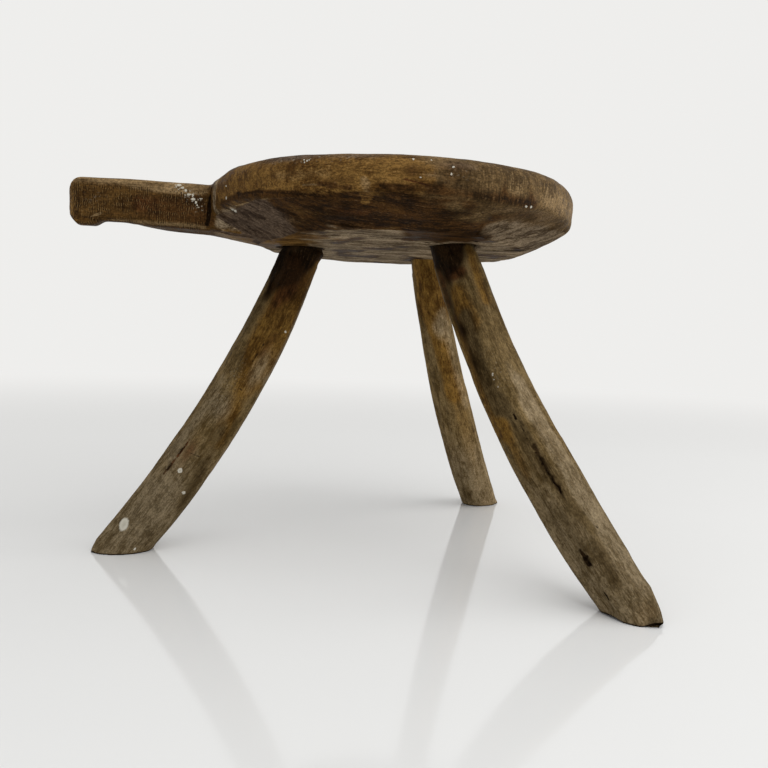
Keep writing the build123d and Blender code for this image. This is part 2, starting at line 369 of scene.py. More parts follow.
@dataclass(frozen=True)
class WoodFinish:
    """Old handled wood, laid on tone by tone, with grain, grit, pores, paint flecks and gloss."""

    name: str
    deep: Triple
    pale: Triple
    layers: tuple[WoodLayer, ...]
    along: int  # the axis that the grain follows
    fibre: float = 1.2  # width of a fibre
    run: float = 22.0  # length of a fibre, in widths
    source: str = ""  # the attribute that holds its places, if it isn't laid on in the stool's frame
    specks: tuple[Speck, ...] = ()
    paint: Triple = (0.52, 0.49, 0.41)
    chalk: Triple = (0.36, 0.32, 0.25)
    worn: Triple = (0.28, 0.22, 0.13)
    pore: Triple = (0.008, 0.004, 0.002)
    # painted shade in the saw lines' grooves and painted highlight on their ridges
    saw_shade: Triple = (0.010, 0.005, 0.002)
    saw_highlight: Triple = (0.170, 0.106, 0.042)
    gloss: Triple = (1.0, 0.86, 0.66)
    specular: float = 0.035
    roughness: Pair = (0.42, 0.66)
    hatch: Callable[[Sheet, Socket], Socket] | None = None  # fine tool lines, from -1 to 1
    blotch: Pair = (6.0, 9.0)  # width and length of the mottling
    grain: float = 1.0  # strength of the fine grain
    streak: float = 0.24  # strength of the long bands

    def lumps(self, width: float, length: float) -> Triple:
        """A lump size that is long down the grain."""
        return tuple(length if axis == self.along else width for axis in range(3))

    def material(self) -> bpy.types.Material:
        """Builds the node tree.

        Returns:
            The finished material.
        """
        made = bpy.data.materials.new(self.name)
        sheet = Sheet(made)
        place = sheet.coords(self.source)
        fibre = sheet.noise(place, self.lumps(self.fibre, self.fibre * self.run), 3.0, 0.6, 0.2)
        ends = sheet.noise(place, (1.5, 1.5, 18.0), 3.0, 0.6, 0.2)
        fibre = sheet.math("MULTIPLY_ADD", sheet.math("SUBTRACT", ends, fibre), sheet.tone(Tone.END), fibre)
        band = sheet.noise(place, self.lumps(3.6 * self.fibre, 50.0 * self.fibre), 3.0, 0.55, 0.5)
        mottle = sheet.noise(place, self.lumps(*self.blotch), 5.0, 0.66, 0.3)
        cloud = sheet.noise(place, self.lumps(18.0, 42.0), 2.0, 0.5, 0.4)
        grit = sheet.noise(place, self.lumps(1.2, 1.8), 2.0, 0.75)
        fine = 0.30 * self.grain
        figure = sheet.weigh((fibre, fine), (band, self.streak), (mottle, 0.52 - self.streak), (cloud, 0.26))
        middle = 0.5 * (0.78 + fine)  # half of the weights' sum
        share = sheet.rise(figure, middle - 0.085, middle + 0.085)
        wander = sheet.weigh((mottle, 0.34), (band, 0.30), (fibre, 0.22), (grit, 0.14))
        colour = self.toned(sheet, share, wander)
        worn = sheet.rise(sheet.weigh((fibre, 0.5), (grit, 0.5)), 0.57, 0.70, 0.0, 0.26 * self.grain)
        colour = sheet.mix(worn, colour, sheet.mix(0.5, colour, self.worn))
        pits = sheet.noise(place, self.lumps(0.7, 5.0), 2.0, 0.5)
        pores = sheet.rise(pits, 0.58, 0.72, 0.0, 0.50 * self.grain)
        colour = sheet.mix(pores, colour, self.pore)
        sparkle = 0.34 * self.grain
        speckled = sheet.grey(sheet.rise(grit, 0.36, 0.64, 1.0 - sparkle, 1.0 + sparkle))
        colour = sheet.mix(1.0, colour, speckled, "MULTIPLY")
        relief = sheet.weigh((fibre, 0.7), (mottle, 0.5), (grit, 0.55), (pores, -0.6))
        if self.hatch is not None:
            lines = self.hatch(sheet, place)
            # painted shade in the saw lines' grooves, then painted highlight on their ridges
            colour = sheet.mix(sheet.rise(lines, 0.0, 0.9, 0.0, 0.9), colour, self.saw_shade)
            colour = sheet.mix(sheet.rise(lines, 0.0, -0.9, 0.0, 0.6), colour, self.saw_highlight)
            relief = sheet.weigh((relief, 1.0), (lines, -0.5))
        colour = sheet.mix(self.dust(sheet), colour, self.chalk)
        if self.specks:
            flecks = self.flecks(sheet)
            colour = sheet.mix(flecks, colour, self.paint)
            relief = sheet.weigh((relief, 1.0), (flecks, 0.8))
        bare = sheet.weigh((sheet.tone(Tone.ASH), 1.0), (sheet.tone(Tone.SLATE), 1.0))
        shine = sheet.rise(bare, 0.1, 0.7, 1.0, 0.06)
        bump = sheet.node("Bump", {"Height": relief, "Distance": 0.5 * MM, "Strength": 0.65})
        feeds = {
            "Base Color": colour,
            "Roughness": sheet.rise(mottle, 0.3, 0.7, *self.roughness),
            "Specular IOR Level": sheet.math("MULTIPLY", shine, self.specular),
            "Specular Tint": self.gloss,
            "Normal": bump.outputs[0],
        }
        sheet.end(sheet.node("BsdfPrincipled", feeds))
        return made

    def toned(self, sheet: Sheet, share: Socket, wander: Socket) -> Socket:
        """Lays the tones over the wood's own colour.

        Args:
            sheet: the tree.
            share: from the dark to the light of the grain.
            wander: the noise that moves the tones' edges.

        Returns:
            The colour.
        """
        colour = sheet.mix(share, self.deep, self.pale)
        for layer in self.layers:
            tone = sheet.tone(layer.tone)
            moved = sheet.math("MULTIPLY_ADD", wander, 2.0 * layer.ragged, -layer.ragged)
            reach = sheet.math("ADD", tone, sheet.math("MULTIPLY", moved, sheet.rise(tone, 0.0, 0.3)))
            cover = sheet.rise(reach, layer.edge - layer.blur, layer.edge + layer.blur, 0.0, layer.opacity)
            colour = sheet.mix(cover, colour, sheet.mix(share, layer.deep, layer.pale))
        return colour

    def flecks(self, sheet: Sheet) -> Socket:
        """Paint flecks, whose edges wobble.

        Args:
            sheet: the tree.

        Returns:
            Their cover.
        """
        place = sheet.coords()
        wobble = sheet.node("TexNoise", {"Vector": sheet.stretched(place, (1.6, 1.6, 1.6)), "Scale": 1.0})
        stray = 1.5 * MM
        offset = sheet.vector("MULTIPLY_ADD", wobble.outputs["Color"], (stray,) * 3, (-stray / 2,) * 3)
        moved = sheet.vector("ADD", place, offset)
        cover: Socket | None = None
        for speck in self.specks:
            centred = sheet.vector("SUBTRACT", moved, in_metres(speck.at))
            length = sheet.vector("LENGTH", sheet.vector("DIVIDE", centred, in_metres(speck.size)))
            inside = sheet.rise(length, 0.75, 1.1, 1.0, 0.0)
            if speck.thin > 0.0:
                middle = sheet.rise(length, 0.25, 0.70, 1.0 - speck.thin, 1.0)
                inside = sheet.math("MULTIPLY", inside, middle)
            cover = inside if cover is None else sheet.math("MAXIMUM", cover, inside)
        return cover

    def dust(self, sheet: Sheet) -> Socket:
        """Small chalky dots and dashes where the chalk tone lies.

        Args:
            sheet: the tree.

        Returns:
            Their cover.
        """
        place = sheet.coords()
        dots = sheet.node("TexVoronoi", {"Vector": sheet.stretched(place, (2.6, 2.6, 1.7)), "Scale": 1.0})
        near = sheet.rise(dots.outputs["Distance"], 0.18, 0.42, 1.0, 0.0)
        broken = sheet.rise(sheet.noise(place, (3.0, 3.0, 2.0), 2.0, 0.6), 0.40, 0.56)
        shown = sheet.rise(sheet.tone(Tone.CHALK), 0.15, 0.75)
        return sheet.math("MULTIPLY", sheet.math("MULTIPLY", near, broken), shown)


# ---- carving ----
class Carving:
    """A closed wooden form, refined from a solid of the frame and then carved point by point."""

    def __init__(self, name: str, node: str, grid: float, polish: int, marks: tuple[Mark, ...] = ()) -> None:
        """Copies a solid, merges it and gives it an even mesh, finer round its narrow marks.

        Args:
            name: the piece's name.
            node: the solid that it starts from and stands for.
            grid: size of the even mesh's faces.
            polish: how many times its corners are eased.
            marks: the narrow marks that it will carry.
        """
        self.name, self.node, self.marks = name, node, marks
        start = bpy.data.meshes.new(f"{name}_start")
        form = bmesh.new()
        form.from_mesh(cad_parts[node].data)
        bmesh.ops.remove_doubles(form, verts=form.verts, dist=MERGE_WITHIN * MM)
        form.to_mesh(start)
        form.free()
        corners_of = np.array([v.co[:] for v in start.vertices]) / MM
        self.low, self.high = corners_of.min(axis=0), corners_of.max(axis=0)
        holder = placed(f"{name}_start", start)
        even = holder.modifiers.new("even", "REMESH")
        even.mode = "VOXEL"
        even.voxel_size = grid * MM
        seen = holder.evaluated_get(bpy.context.evaluated_depsgraph_get())
        evened = bpy.data.meshes.new_from_object(seen)
        self.form = bmesh.new()
        self.form.from_mesh(evened)
        bpy.data.objects.remove(holder)
        bpy.data.meshes.remove(start)
        bpy.data.meshes.remove(evened)
        axes = {f"use_axis_{axis}": True for axis in "xyz"}
        for _ in range(polish):
            bmesh.ops.smooth_vert(self.form, verts=self.form.verts, factor=0.5, **axes)
        if marks:
            self.refine()
        self.form.normal_update()
        self.tones = {tone: np.zeros(len(self.form.verts)) for tone in Tone}
        self.vectors: dict[str, np.ndarray] = {}

    @property
    def points(self) -> np.ndarray:
        """Every vertex, in millimetres."""
        return np.array([v.co[:] for v in self.form.verts]) / MM

    @property
    def normals(self) -> np.ndarray:
        """Every vertex's outward direction."""
        return np.array([v.normal[:] for v in self.form.verts])

    def refine(self) -> None:
        """Divides the faces under the narrow marks, so that those have an edge."""
        points = self.points
        reach = np.min([distance_to_path(points, mark.path) - mark.width for mark in self.marks], axis=0)
        edges = list({e for v, gap in zip(self.form.verts, reach) if gap < FINE_MARGIN for e in v.link_edges})
        bmesh.ops.subdivide_edges(self.form, edges=edges, cuts=2, use_grid_fill=True)

    def press(self, depths: np.ndarray) -> None:
        """Pushes the surface in along its own normals, inside the solid's box.

        Args:
            depths: how far each vertex goes in.
        """
        moved = np.clip(self.points - self.normals * depths[:, None], self.low, self.high) * MM
        for vertex, point in zip(self.form.verts, moved.tolist()):
            vertex.co = point
        self.form.normal_update()

    def lay(self, tone: Tone, cover: np.ndarray) -> None:
        """Adds cover to a tone."""
        self.tones[tone] += cover

    def lay_all(self, tones: Tones, points: np.ndarray) -> None:
        """Lays every area on its tone.

        Args:
            tones: the areas of each tone.
            points: where the vertices are, in the areas' frame.
        """
        for tone, areas in tones.items():
            for area in areas:
                self.lay(tone, area.cover(points))

    def incise(self) -> None:
        """Cuts and tints the narrow marks."""
        points = self.points
        stray = grain_noise(points, (3.4, 3.4, 3.4), 5.0)
        depths = np.zeros(len(points))
        for mark in self.marks:
            gap = distance_to_path(points, mark.path) + mark.wander * stray
            inside = np.clip(1.0 - gap / mark.width, 0.0, 1.0)
            depths += mark.depth * inside
            self.lay(mark.tone, mark.strength * smooth_step(0.0, 0.8, inside))
        self.press(depths)

    def piece(self, finish: WoodFinish) -> None:
        """Turns the form into a finished piece on the stool's one body.

        Args:
            finish: what it is dressed in.
        """
        mesh = bpy.data.meshes.new(self.name)
        for face in self.form.faces:
            face.smooth = True
        self.form.to_mesh(mesh)
        self.form.free()
        for tone, cover in self.tones.items():
            layer = mesh.attributes.new(tone.value, "FLOAT", "POINT")
            layer.data.foreach_set("value", np.clip(cover, 0.0, MOST_COVER).astype(np.float32))
        for name, vectors in self.vectors.items():
            layer = mesh.attributes.new(name, "FLOAT_VECTOR", "POINT")
            layer.data.foreach_set("vector", (vectors * MM).astype(np.float32).ravel())
        made = placed(self.name, mesh)
        mesh.materials.append(finish.material())
        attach(made, "root")
        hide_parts(self.node)
        LOG.info("%s: %d faces", self.name, len(mesh.polygons))


# ---- the seat ----
def saw_lines(sheet: Sheet, place: Socket) -> Socket:
    """Fine upright saw lines across the handle's sides, broken up by wear.

    Args:
        sheet: the tree.
        place: coordinates in the stool's frame.

    Returns:
        -1 on a pale line and 1 on a dark one.
    """
    parts = sheet.node("SeparateXYZ", {0: place}).outputs
    drift = sheet.noise(place, (9.0, 20.0, 5.0), 2.0)
    pitch = 1.7 * MM
    along = sheet.math("MULTIPLY_ADD", parts["X"], 1.0 / pitch, sheet.math("MULTIPLY", drift, 1.8))
    wave = sheet.math("SINE", sheet.math("MULTIPLY", along, 2.0 * math.pi))
    broken = sheet.rise(sheet.noise(place, (2.0, 2.0, 2.6), 3.0, 0.7), 0.45, 0.58)
    patchy = sheet.rise(sheet.noise(place, (15.0, 15.0, 8.0), 2.0, 0.5), 0.36, 0.58, 0.15, 1.0)
    on_handle = sheet.rise(parts["X"], -100.0 * MM, -110.0 * MM)
    below_edge = sheet.rise(parts["Z"], 294.0 * MM, 289.0 * MM)
    where = sheet.math("MULTIPLY", on_handle, below_edge)
    shown = sheet.math("MULTIPLY", sheet.math("MULTIPLY", broken, patchy), where)
    return sheet.math("MULTIPLY", wave, shown)


OIL_RUN = ((2, -138, 281.6), (4.6, -137.4, 277.6), (5, -134.6, 274.4))
OIL_DRIP = ((5, -134, 274), (4.8, -128.6, 270.6))

SEAT_MARKS = (
    # the crease at the handle's root, cut in and painted black as shade
    Mark(
        (
            (-101.4, -25.5, 291.6), (-102.4, -18.9, 287.1), (-102.9, -16.2, 283.7),
            (-103.5, -15.9, 275.9), (-104.2, -15.9, 268.1), (-104.9, -15.8, 264.6),
        ),
        2.1, 1.9, strength=2, wander=0.3,
    ),
    # stain along the rim's foot
    Mark(
        (
            (-79.8, -75.8, 278.6), (-73.4, -85.2, 279), (-66.5, -93.8, 278.6), (-54.3, -105.8, 277),
            (-41.2, -115.7, 275.1), (-28.2, -123.2, 273.6),
        ),
        1.5, 0.3, strength=0.5, wander=0.9,
    ),
    # the worn edge of the left facet, and scratches
    Mark(
        (
            (-82.2, -61.2, 272.9), (-74.8, -74.5, 272.9), (-67.7, -87.3, 273), (-59.5, -99, 273.4),
            (-47.5, -108.8, 273.2), (-34.5, -118, 272.1),
        ),
        1.5, -0.2, Tone.TAN, 0.8, 0.3,
    ),
    Mark(
        ((-93.2, -24, 269.4), (-90, -19.5, 266.4), (-85.4, -19.6, 262.6), (-80, -21, 260)),
        1.2, 0.1, Tone.TAN, 0.7, 0.4,
    ),
    Mark(((-97.9, -16.9, 265.6), (-95.5, -17.4, 262.9), (-92.6, -17.2, 260.4)), 1.2, 0.1, Tone.TAN, 0.7, 0.4),
    Mark(((-36.2, -120.3, 280.6), (-27.3, -125.5, 280.5), (-18, -130, 279.4)), 0.9, 0.1, Tone.TAN, 1, 0.3),
    Mark(((-30.8, -117.7, 270.7), (-22.8, -121.8, 270.4)), 0.8, 0.1, Tone.TAN, 1.2, 0.1),
    Mark(((19.9, -134.8, 271.5), (31.4, -138.1, 271.7)), 0.8, 0, Tone.TAN, 0.8, 0.2),
    # a drop of oil that ran down the rim
    Mark(OIL_RUN, 7.4, 0, Tone.OCHRE, 1.2, 0.7),
    Mark(OIL_RUN, 7.4, 0, Tone.SMOKE, -1.3, 0.7),
    Mark(((3, -138.4, 282.4), (4.6, -137.4, 277.6)), 6.4, 0, Tone.TAN, 0.5, 0.9),
    Mark(((6, -138.6, 281.6), (15.5, -140.6, 282)), 4.6, 0, Tone.OCHRE, 1.1, 0.7),
    Mark(OIL_DRIP, 3.9, 0, Tone.OCHRE, 1.4, 0.4),
    Mark(OIL_DRIP, 3.9, 0, Tone.SMOKE, -1.3, 0.4),
    Mark(((66.5, -139.8, 271.6), (74, -137.6, 271.6)), 0.6, 0, Tone.TAN, 0.9, 0.2),
    Mark(((27.8, -143.9, 284.3), (38.5, -144.3, 282.4), (48.6, -144.3, 279.8)), 1, 0.2, Tone.RUST, 1, 0.4),
    Mark(((-192.6, -13.9, 266), (-189, -13.9, 267.4), (-185.6, -13.7, 268.8)), 1.3, 0.3, Tone.TAN, 0.95, 0.5),
    # swirls of the scraper on the right facet
    Mark(
        ((107.3, -109.4, 263.9), (116, -103.5, 264.4), (121.8, -97.8, 264.1), (123.6, -92.8, 262.6)),
        1.5, 0.2, Tone.TAN, 0.6, 0.7,
    ),
    Mark(
        ((111.3, -102.1, 262.2), (122.9, -86.4, 259.7), (129.7, -86.8, 262.3)),
        1.3, 0.2, Tone.TAN, 0.55, 0.7,
    ),
    Mark(((143, -78.6, 263), (149.5, -71.8, 263), (156, -64.6, 262.8)), 1.6, 0.2, Tone.TAN, 0.8, 0.7),
    # drying cracks
    Mark(((172, -80, 292), (174, -77, 284), (173, -78, 279)), 0.8, 0.9),
    Mark(((186, -52, 291), (187.5, -48, 282), (186.5, -47, 278)), 0.7, 0.8),
    Mark(((-34, -70, 253.9), (10, -76, 253.6), (48, -73, 253.8)), 0.8, 0.7),
    Mark(((108, -40, 252.2), (132, -43, 252.6), (150, -40, 253.4)), 0.8, 0.7),
    Mark(((20, 40, 298.6), (70, 43, 299), (118, 41, 299.6)), 0.8, 1),
    # gaps beside the tenons
    Mark(((-9.6, -8.6, 252), (-11.5, -7, 252)), 2.6, 2, strength=1.6),
    Mark(((60, -63.6, 253.4), (64.5, -62, 253.2)), 2.4, 2.2, strength=1.6),
    Mark(((94, -79.5, 254), (98, -76, 253.2)), 2.8, 2.4, strength=1.6),
)

SEAT_SPECKS = (
    Speck((-36, -119.6, 297.6), (0.8, 1.8, 0.7), 0.4), Speck((-34, -120.8, 296.6), (0.8, 1.8, 0.8), 0.4),
    Speck((-35.6, -119.6, 295.4), (0.6, 1.8, 0.5), 0.4), Speck((-32.6, -121.6, 297.4), (0.5, 1.8, 0.5), 0.3),
    Speck((33.9, -142.1, 297.9), (0.7, 1.5, 1), 0.3), Speck((45.8, -142.6, 298), (0.6, 1.5, 0.6), 0.4),
    Speck((60.5, -143.9, 294.3), (0.9, 1.5, 0.7), 0.4), Speck((59.2, -144.6, 289.5), (0.6, 1.5, 0.9), 0.4),
    Speck((38.5, -144.7, 286.1), (0.6, 1.5, 0.5), 0.4), Speck((119.1, -123.6, 275.3), (1.2, 2, 0.9), 0.2),
    Speck((123.6, -121.3, 275.5), (1, 2, 1), 0.2), Speck((-88.7, -61.4, 287.2), (0.8, 1.4, 0.7), 0.2),
    Speck((-88.6, -59.6, 278.8), (0.6, 1.4, 1.4), 0.2), Speck((-86.8, -54.2, 271.9), (1.9, 3, 1.4), 0.1),
    Speck((-84.6, -53.2, 270.9), (1.8, 3, 1.6)), Speck((-82.6, -52.6, 270.1), (1.7, 3, 1.6)),
    Speck((-127, -13.7, 294.2), (2.1, 1.5, 1), 0.3), Speck((-128.9, -13.1, 292.4), (0.9, 1.5, 0.7), 0.2),
    Speck((-124.4, -14.2, 292.3), (1.4, 1.5, 0.9), 0.3), Speck((-121.7, -14.7, 290.1), (1, 1.2, 1.1), 0.2),
    Speck((-119, -14.9, 287.2), (1.9, 1.2, 0.9), 0.2), Speck((-116.2, -15, 286.6), (0.8, 1.2, 1.4), 0.2),
    Speck((-115.9, -15.1, 283.6), (1.7, 1.2, 1.1), 0.2), Speck((-113.7, -15.2, 281.4), (0.9, 1.2, 1.3), 0.2),
    Speck((-109.9, -15.5, 284.3), (1.4, 1.2, 0.6), 0.2), Speck((-112.9, -15.3, 279.2), (0.6, 1.2, 0.8), 0.2),
)

SEAT_DENTS: Areas = (
    Spot((-99.5, -4, 303.5), (9, 34, 4.6), 5), Spot((-94, -40, 300), (10, 16, 7), 0.9),
    Spot((-62, -100, 300), (30, 22, 7), -1), Spot((140, -112, 299), (50, 34, 7), -1.1),
    Spot((-155, -2, 298), (52, 20, 5), -0.9), Spot((-209.5, -12, 297), (5, 12, 6), 1),
    Spot((-209.5, -12, 263), (5, 12, 7), 0.8), Spot((-188, -14, 266), (5, 5, 3), 0.5),
    Spot((-172, -10, 262), (14, 12, 4), -0.7), Spot((174, -40, 266), (24, 30, 10), -2.6),
    Spot((148, -36, 253), (17, 26, 6), 1.5), Spot((192, -30, 286), (12, 40, 14), -0.6),
    Spot((-48, -20, 253), (26, 20, 6), -0.9),
)

SEAT_TONES: Tones = {
    Tone.OLIVE: (
        Band(((70, -141, 288), (120, -125, 287), (160, -90, 286)), 30, 1.5),
        Band(((160, -90, 286), (196, 0, 286), (180, 70, 286)), 26, 1.5),
    ),
    Tone.OCHRE: (
        Band(((-84, -70, 290), (-45, -116, 289), (-10, -134, 290)), 13, 1.1),
        Band(((-10, -134, 290), (20, -143, 291), (40, -144, 286)), 10, 1.2),
        Band(((-40, -118, 288), (-22, -128, 286)), 8, 0.5), Spot((-66, 4, 253.5), (44, 32, 6), 1),
        Band(((-80, -14, 255.5), (-56, -34, 253.4), (-30, -44, 252.8)), 12, 1.2),
        Band(((-52, -62, 253.6), (-26, -60, 253.4), (-4, -54, 253.3)), 9, 0.8),
        Spot((-208, -6, 280), (6, 12, 26), 0.8), Spot((-198, -10, 262), (10, 12, 6), 0.6),
        Spot((-146, -15, 277), (9, 6, 11), 0.5), Band(((-6, -135, 293), (14, -141.5, 292)), 6, 0.7),
        Band(((-94, -47, 288), (-86, -66, 284)), 9, 1.1),
    ),
    Tone.TAN: (
        Band(((-206, -12, 297), (-160, -13, 296.5), (-108, -14, 294.5)), 6, 1),
        Band(((-160, -13, 294), (-140, -13.5, 291.5), (-112, -14.5, 291)), 4.5, 0.62),
        Band(((-178, -12, 262.5), (-140, -13, 262.5), (-108, -15, 263)), 3, 0.8),
        Spot((110, -130.5, 286.5), (8, 9, 8), 0.5),
        Band(((140, -111, 285), (161, -90, 285), (182, -56, 284), (196, 0, 285)), 11, 0.62),
        Band(((186, -46, 284), (196, -10, 284)), 8, 0.36),
        Band(((-54, -106, 288), (-34, -121, 287), (-20, -128, 288)), 6, 0.38),
    ),
    Tone.ASH: (
        Band(((-72, -22, 255), (-52, -40, 253.4), (-34, -58, 252.8)), 12, -0.9),
        Band(((-52, -62, 253.6), (-26, -60, 253.4), (-4, -54, 253.3)), 10, -0.9),
        Band(((52, -98, 254.6), (70, -92, 254.5), (88, -90, 254.5)), 20, -1.4),
        Band(((-34, -34, 252.7), (-21, -34, 252.6), (-8, -33, 252.6)), 9, -0.6),
        Band(((135, -67, 256), (155, -60, 260), (172, -40, 264)), 12, 0.9),
        # painted highlight: a pale sheen down the rim's corner beside the handle
        Band(((-94, -42, 299), (-97.5, -38, 290), (-98.5, -31, 278), (-97, -30, 271)), 5, 0.95),
        Spot((46, -144, 288), (12, 12, 4), 0.35), Band(((-16, -100, 257.5), (12, -106, 257.4)), 4, 0.8),
        Band(((-94, -18.6, 266), (-88, -22, 264.5), (-80, -22, 260.6), (-69, -27, 257)), 6, 0.85),
        Band(((-90, -40, 271), (-82, -56, 271.5)), 5, 0.6),
    ),
    Tone.SLATE: (
        Spot((-50, -108, 301), (40, 26, 5), 0.9), Spot((0, -138, 300), (24, 14, 3.6), 0.62),
        Spot((66, -143, 296), (20, 12, 6), 0.55), Band(((-92, -30, 268), (-86, -46, 269.5)), 7, -0.55),
        Band(((-69, -35, 259.4), (-50, -50, 256.6)), 6.5, 0.85),
    ),
    Tone.RUST: (
        Band(((-156, -15, 278), (-132, -15.6, 276), (-110, -16, 272)), 9, 0.7),
        Spot((30, -118, 262), (34, 16, 7), 0.6), Spot((-10, -122, 266), (22, 14, 6), 0.45),
    ),
    Tone.SMOKE: (
        Band(((54, -98, 254.6), (70, -92, 254.5), (86, -90, 254.5)), 18, 1.25),
        Band(((96, -122, 268), (115, -118, 270), (134, -104, 271)), 6, 0.5),
        # painted shade in the crease at the handle's root
        Band(((-103.6, -16, 276), (-101.6, -16.2, 266)), 2.8, 0.8),
        Band(((-150, -15, 275), (-132, -15.6, 274), (-108, -16, 271)), 7, 0.42),
        Spot((-66, -98, 300), (18, 16, 4), 0.5), Spot((32, -144.5, 289.5), (9, 9, 6), 0.55),
        Spot((62, -144, 292), (22, 12, 8), 0.5),
        Band(((54, -144, 280), (92, -137, 280), (128, -121, 279)), 6.5, 0.4),
        Band(((-32, -123, 281.5), (-16, -131, 283), (-5, -136, 283.5)), 3.4, 0.5),
        Band(((14, -140.8, 280), (30, -143.4, 279.6), (52, -144, 280)), 2.6, 0.5),
        Spot((-128, -15, 279), (16, 6, 8), 0.72), Band(((-112, -15.6, 284), (-107, -16, 268)), 5, 0.6),
        Band(((-182, -14, 270), (-150, -14.6, 268), (-106, -15.4, 267)), 4, 0.42),
        Spot((-175, -15, 289), (20, 6, 5), 0.35),
        Band(((-92.8, -49.4, 275.1), (-86.5, -64.3, 276.8), (-79.8, -75.8, 278)), 3, 0.8),
        Band(
            (
                (-79.8, -75.8, 278.4), (-66.5, -93.8, 278.4), (-54.3, -105.8, 277),
                (-41.2, -115.7, 275.2),
            ),
            2, 1,
        ),
        Band(((-81, -72, 275.4), (-61, -98.7, 275), (-41, -115, 273.6)), 2.6, 0.45),
        Band(((-41.2, -115.7, 275), (-28.2, -123.2, 273.6), (-15.3, -128.3, 272.8)), 2.2, 0.7),
        Band(((-26, -126.5, 280.6), (-15.9, -130.9, 279.8)), 1.2, 0.9),
        Band(((-20, -128.5, 278.6), (-5.6, -135, 278.2)), 1.3, 1),
        Band(((13.5, -140.7, 280), (23.1, -142.5, 278.8), (33, -143.3, 279)), 1.3, 0.9),
        Band(((16.5, -140, 276.4), (29.1, -141.6, 275.6), (44, -142, 276)), 1.7, 0.8),
        Band(((-8, -132, 274), (-7, -128, 271)), 3, 0.6),
        Band(((46, -143.5, 276.6), (92, -136, 277), (126, -120, 277.6)), 3.6, 0.44),
        Band(((99, -135, 293), (99.5, -135, 281)), 2.6, 0.38),
        Band(((121, -124.5, 291), (123, -123, 281)), 3, 0.34), Spot((48, -114, 257.4), (13, 8, 5), 0.7),
        # painted shade: the dark line under the handle's near lower edge
        Band(((-150, -8, 261.5), (-112, -10, 260.6)), 3.4, 0.9),
    ),
    Tone.CHALK: (
        Band(((-129, -13, 294.6), (-119.9, -14.8, 288.3), (-112, -15.3, 278.6)), 4.6, 1.2),
        Band(((-70, -94, 300), (-34, -120, 299), (-6, -132, 299)), 7, 0.4),
        Spot((62, -143, 290), (44, 12, 12), 0.28), Spot((-190, -13, 280), (16, 6, 10), 0.3),
    ),
    Tone.END: (
        Band(((84, -139, 287), (122, -125, 287), (160, -90, 286), (196, 0, 286)), 24, 1.4),
        Band(((196, 0, 286), (180, 76, 286), (140, 118, 286)), 24, 1.4),
        Band(((-200, -14, 277), (-106, -16, 276)), 16, 0.85),
        Band(((-96, -40, 286), (-88, -66, 288), (-50, -112, 288)), 14, 0.6),
    ),
}


